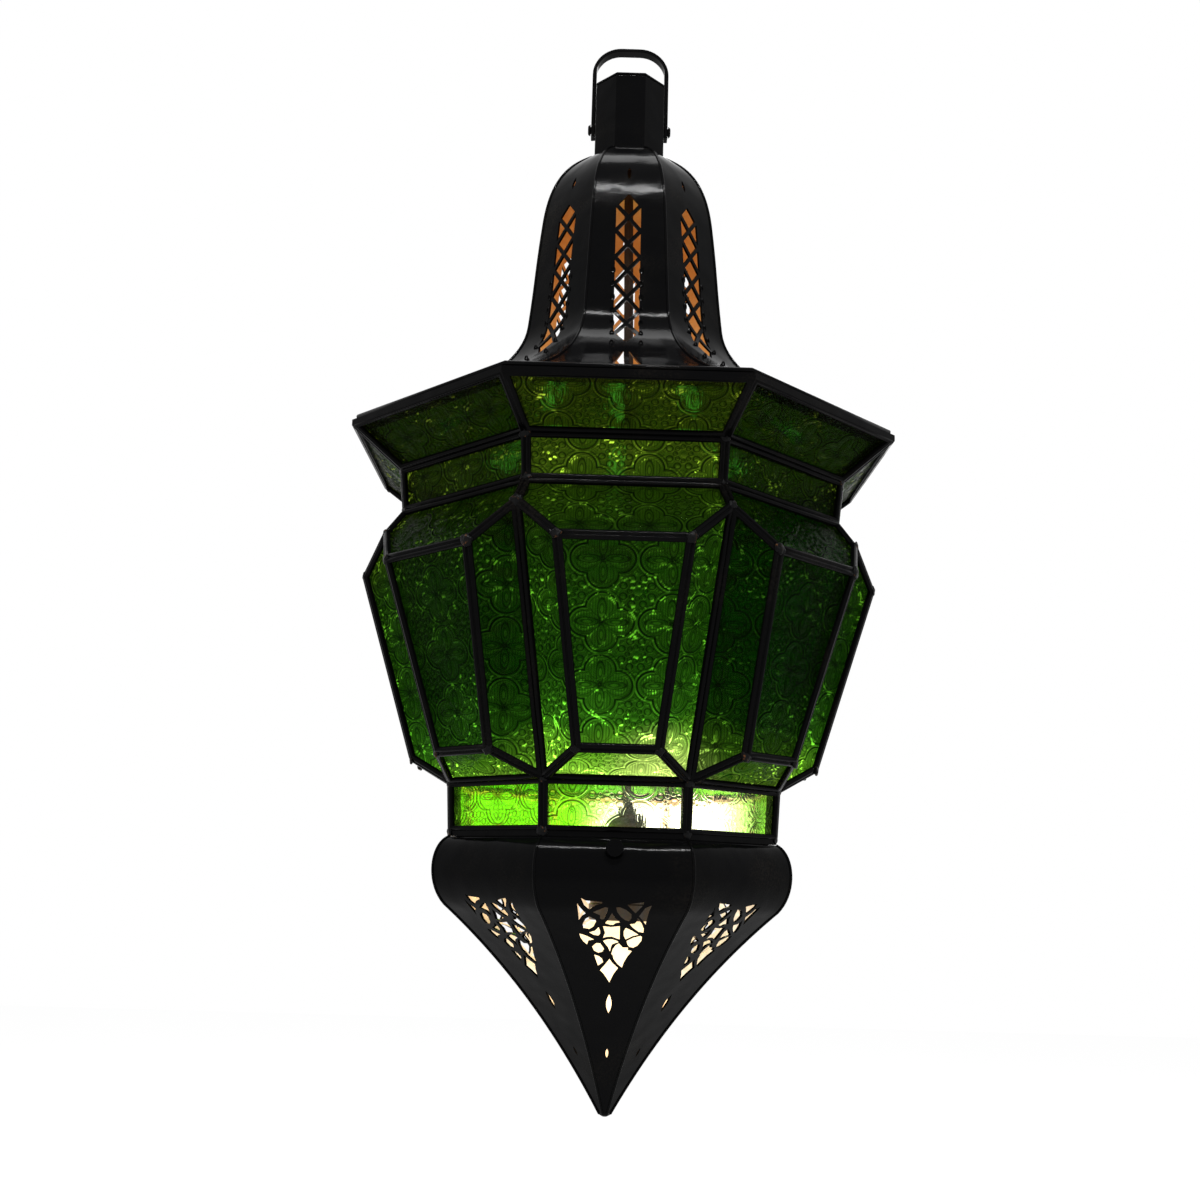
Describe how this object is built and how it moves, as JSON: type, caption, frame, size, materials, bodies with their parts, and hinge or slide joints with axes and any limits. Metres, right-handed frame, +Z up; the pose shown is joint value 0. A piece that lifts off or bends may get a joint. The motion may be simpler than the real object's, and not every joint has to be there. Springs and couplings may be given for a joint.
{
  "type": "hanging lantern",
  "caption": "Eight-sided hanging lantern with a pierced bell roof, raised green glass faces in black came, and a hinged filigree dome below.",
  "frame": {"origin": "Where the hook bears, on the underside of the hoop's straight top.", "axes": "+Z up along the lantern's axis, one flat side of the eight faces -Y, the hoop lies across X."},
  "size_m": [0.278, 0.278, 0.5966],
  "materials": {
    "tin": "gloss black enamel",
    "green_glass": "pressed pattern",
    "brass": "plain",
    "bakelite": "moulded",
    "rubber": "smooth",
    "lamp_glass": "frosted"
  },
  "bodies": {
    "hoop": {"hanging_hoop": "tin"},
    "dome": {"dome_shell": "tin", "dome_mouth_ring": "tin", "hinge_lower_leaf": "tin"},
    "screw": {"clamp_screw": "tin"},
    "bulb": {"bulb_cap": "brass", "bulb_glass": "lamp_glass"},
    "lantern": {"band_pane_1": "green_glass", "band_pane_2": "green_glass", "band_pane_3": "green_glass", "band_pane_4": "green_glass", "band_pane_5": "green_glass", "band_pane_6": "green_glass", "band_pane_7": "green_glass", "band_pane_8": "green_glass", "base_frame": "tin", "base_pane_1": "green_glass", "base_pane_2": "green_glass", "base_pane_3": "green_glass", "base_pane_4": "green_glass", "base_pane_5": "green_glass", "base_pane_6": "green_glass", "base_pane_7": "green_glass", "base_pane_8": "green_glass", "cable_gland": "brass", "crown_frame": "tin", "face_frame_1": "tin", "face_frame_2": "tin", "face_frame_3": "tin", "face_frame_4": "tin", "face_frame_5": "tin", "face_frame_6": "tin", "face_frame_7": "tin", "face_frame_8": "tin", "face_glass_1": "green_glass", "face_glass_2": "green_glass", "face_glass_3": "green_glass", "face_glass_4": "green_glass", "face_glass_5": "green_glass", "face_glass_6": "green_glass", "face_glass_7": "green_glass", "face_glass_8": "green_glass", "flare_pane_1": "green_glass", "flare_pane_2": "green_glass", "flare_pane_3": "green_glass", "flare_pane_4": "green_glass", "flare_pane_5": "green_glass", "flare_pane_6": "green_glass", "flare_pane_7": "green_glass", "flare_pane_8": "green_glass", "gland_nut": "brass", "hinge_pin": "tin", "hinge_upper_leaf": "tin", "hoop_rivet_left": "tin", "hoop_rivet_right": "tin", "inner_lead": "rubber", "lampholder": "bakelite", "neck_cap": "tin", "neck_tube": "tin", "pierced_roof": "tin"}
  },
  "joints": [
    {"name": "hoop_swing", "type": "hinge", "parent": "hoop", "child": "lantern", "pos_m": [0, 0, -0.05], "axis": [1, 0, 0], "range_deg": [-120, 120]},
    {"name": "dome_hinge", "type": "hinge", "parent": "lantern", "child": "dome", "pos_m": [0, 0.08576, -0.45895], "axis": [1, 0, 0], "range_deg": [0, 100]},
    {"name": "clamp_screw_turn", "type": "hinge", "parent": "dome", "child": "screw", "pos_m": [0, -0.0885, -0.4635], "axis": [0, -1, 0], "range_deg": [0, 720]},
    {"name": "bulb_turn", "type": "hinge", "parent": "lantern", "child": "bulb", "pos_m": [0.008, 0, -0.498], "axis": [0, 0, -1], "range_deg": [0, 1080]}
  ]
}
